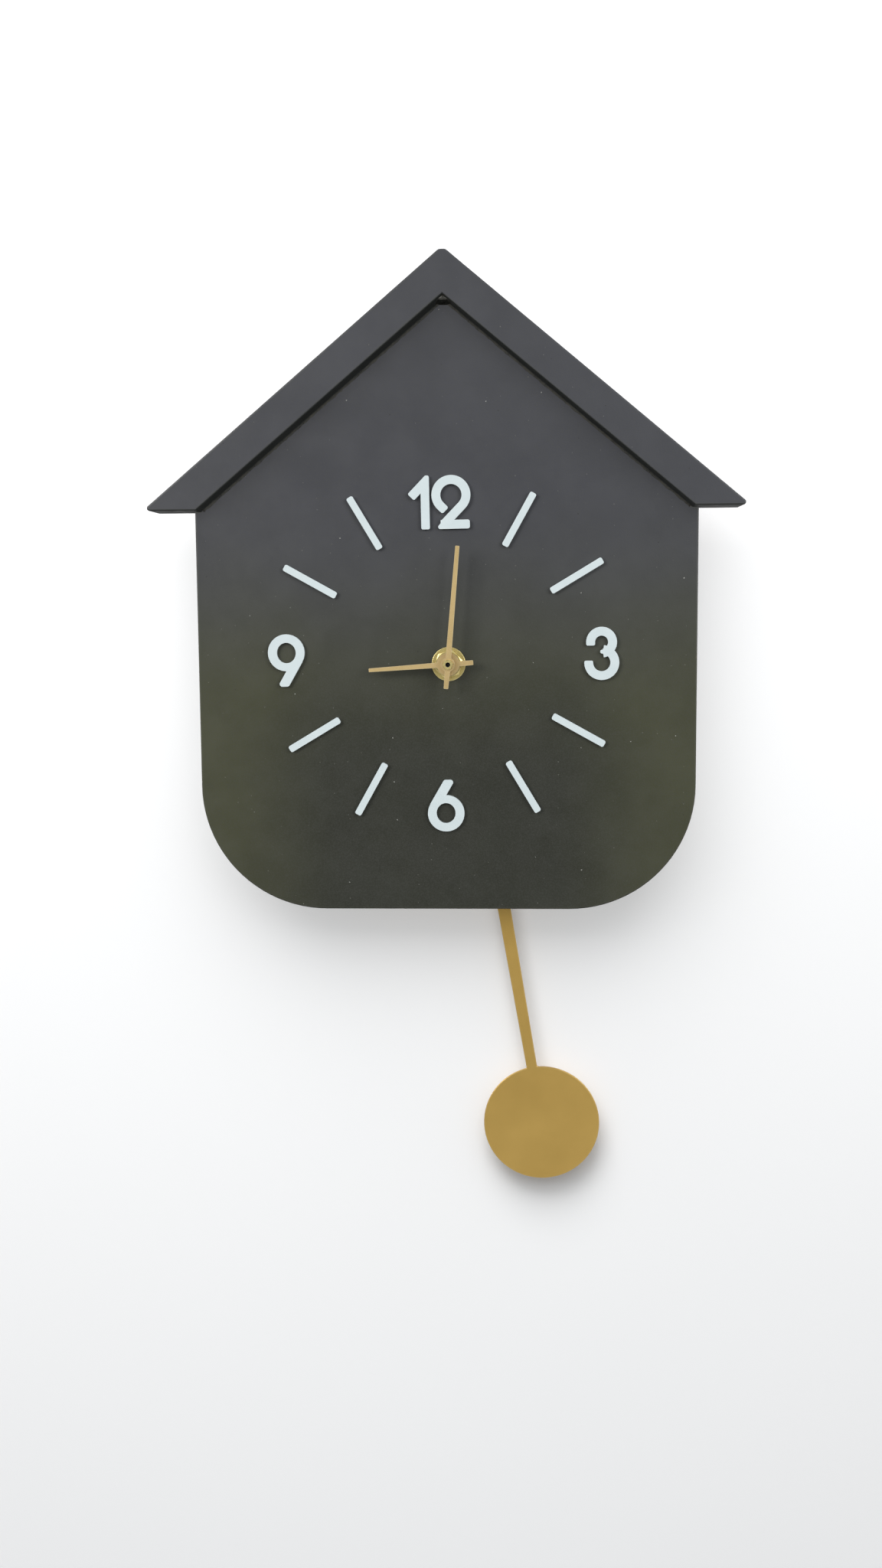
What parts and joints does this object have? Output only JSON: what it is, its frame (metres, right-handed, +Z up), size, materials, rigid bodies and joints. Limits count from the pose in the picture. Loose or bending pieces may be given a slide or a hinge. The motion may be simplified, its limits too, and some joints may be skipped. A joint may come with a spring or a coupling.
{
  "type": "pendulum wall clock",
  "caption": "House-shaped wall clock with a pitched roof, stick hands, a quartz movement behind the dial and a flat disc pendulum swinging below.",
  "frame": {"origin": "centre of the hole in the hanger plate, on the wall plane", "axes": "+Z up, +Y out of the back towards the wall, +X to the viewer's right; the dial faces -Y"},
  "size_m": [0.257, 0.05, 0.4197],
  "materials": {
    "case_paint": "satin charcoal paint on fibreboard",
    "frame_paint": "thin dark wash on fibreboard",
    "white_acrylic": "satin white acrylic",
    "hand_gold": "satin gold",
    "brass": "turned, bright",
    "rubber": "matt",
    "pendulum_gold": "fine satin gold",
    "housing_plastic": "moulded, fine texture",
    "gear_plastic": "moulded acetal",
    "steel": "zinc plated",
    "magnet": "nickelled magnet",
    "copper": "enamelled winding",
    "board": "phenolic laminate",
    "crystal_can": "polished can",
    "battery_sleeve": "printed sleeve without marks"
  },
  "bodies": {
    "case": {"battery": "battery_sleeve", "battery_contacts": "steel", "bottom_rail_left": "frame_paint", "bottom_rail_right": "frame_paint", "brass_washer": "brass", "centre_bush": "brass", "centre_nut": "brass", "circuit_board": "board", "corner_rail_left": "frame_paint", "corner_rail_right": "frame_paint", "dial_panel": "case_paint", "drive_coil": "copper", "hanger_block": "frame_paint", "hanger_plate": "steel", "hour_bar_1": "white_acrylic", "hour_bar_10": "white_acrylic", "hour_bar_11": "white_acrylic", "hour_bar_2": "white_acrylic", "hour_bar_4": "white_acrylic", "hour_bar_5": "white_acrylic", "hour_bar_7": "white_acrylic", "hour_bar_8": "white_acrylic", "motor_coil": "copper", "movement_cover": "housing_plastic", "movement_front": "housing_plastic", "numeral_1": "white_acrylic", "numeral_2": "white_acrylic", "numeral_3": "white_acrylic", "numeral_6": "white_acrylic", "numeral_9": "white_acrylic", "pivot_clip": "steel", "pivot_pin": "steel", "plate_screws": "steel", "quartz_crystal": "crystal_can", "rafter_left": "frame_paint", "rafter_right": "frame_paint", "roof_board_left": "case_paint", "roof_board_right": "case_paint", "rubber_washer": "rubber", "side_rail_left": "frame_paint", "side_rail_right": "frame_paint", "stator": "steel", "wheel_bridge": "gear_plastic"},
    "minute_work": {"minute_hand": "hand_gold", "minute_nut": "brass", "minute_arbor": "steel"},
    "hour_work": {"hour_hand": "hand_gold", "hour_wheel": "gear_plastic"},
    "motion_wheel": {"motion_wheel": "gear_plastic"},
    "setting_knob": {"setting_knob": "housing_plastic"},
    "rotor": {"rotor": "gear_plastic"},
    "step_wheel": {"step_wheel": "gear_plastic"},
    "seconds_wheel": {"seconds_wheel": "gear_plastic"},
    "third_wheel": {"third_wheel": "gear_plastic"},
    "centre_wheel": {"centre_wheel": "gear_plastic"},
    "pendulum": {"pendulum": "pendulum_gold", "swing_arm": "housing_plastic", "drive_magnet": "magnet", "hanging_rivet": "steel"}
  },
  "joints": [
    {"name": "minute_turn", "type": "hinge", "parent": "case", "child": "minute_work", "pos_m": [0.0012, -0.025, -0.1], "axis": [0, 1, 0], "continuous": true},
    {"name": "hour_turn", "type": "hinge", "parent": "case", "child": "hour_work", "pos_m": [0.0012, -0.025, -0.1], "axis": [0, 1, 0], "continuous": true},
    {"name": "motion_turn", "type": "hinge", "parent": "case", "child": "motion_wheel", "pos_m": [-0.0068, -0.025, -0.1], "axis": [0, 1, 0], "continuous": true},
    {"name": "knob_turn", "type": "hinge", "parent": "case", "child": "setting_knob", "pos_m": [-0.0152, -0.025, -0.1], "axis": [0, 1, 0], "continuous": true},
    {"name": "rotor_turn", "type": "hinge", "parent": "case", "child": "rotor", "pos_m": [0.001, -0.025, -0.08564], "axis": [0, 1, 0], "continuous": true},
    {"name": "step_turn", "type": "hinge", "parent": "case", "child": "step_wheel", "pos_m": [-0.00208, -0.025, -0.09098], "axis": [0, 1, 0], "continuous": true},
    {"name": "seconds_turn", "type": "hinge", "parent": "case", "child": "seconds_wheel", "pos_m": [0.0012, -0.025, -0.1], "axis": [0, 1, 0], "continuous": true},
    {"name": "third_turn", "type": "hinge", "parent": "case", "child": "third_wheel", "pos_m": [0.01013, -0.025, -0.09675], "axis": [0, 1, 0], "continuous": true},
    {"name": "centre_turn", "type": "hinge", "parent": "case", "child": "centre_wheel", "pos_m": [0.0012, -0.025, -0.1], "axis": [0, 1, 0], "continuous": true},
    {"name": "pendulum_swing", "type": "hinge", "parent": "case", "child": "pendulum", "pos_m": [0.0012, -0.0115, -0.074], "axis": [0, 1, 0], "range_deg": [-2.4, 21.6]}
  ],
  "couplings": [
    {"joint": "hour_turn", "follows": "minute_turn", "ratio": 0.083333},
    {"joint": "motion_turn", "follows": "minute_turn", "ratio": -0.33333},
    {"joint": "knob_turn", "follows": "minute_turn", "ratio": 0.83333},
    {"joint": "step_turn", "follows": "rotor_turn", "ratio": -0.16667},
    {"joint": "seconds_turn", "follows": "rotor_turn", "ratio": 0.033333},
    {"joint": "third_turn", "follows": "rotor_turn", "ratio": -0.0041667},
    {"joint": "centre_turn", "follows": "rotor_turn", "ratio": 0.00055556}
  ]
}
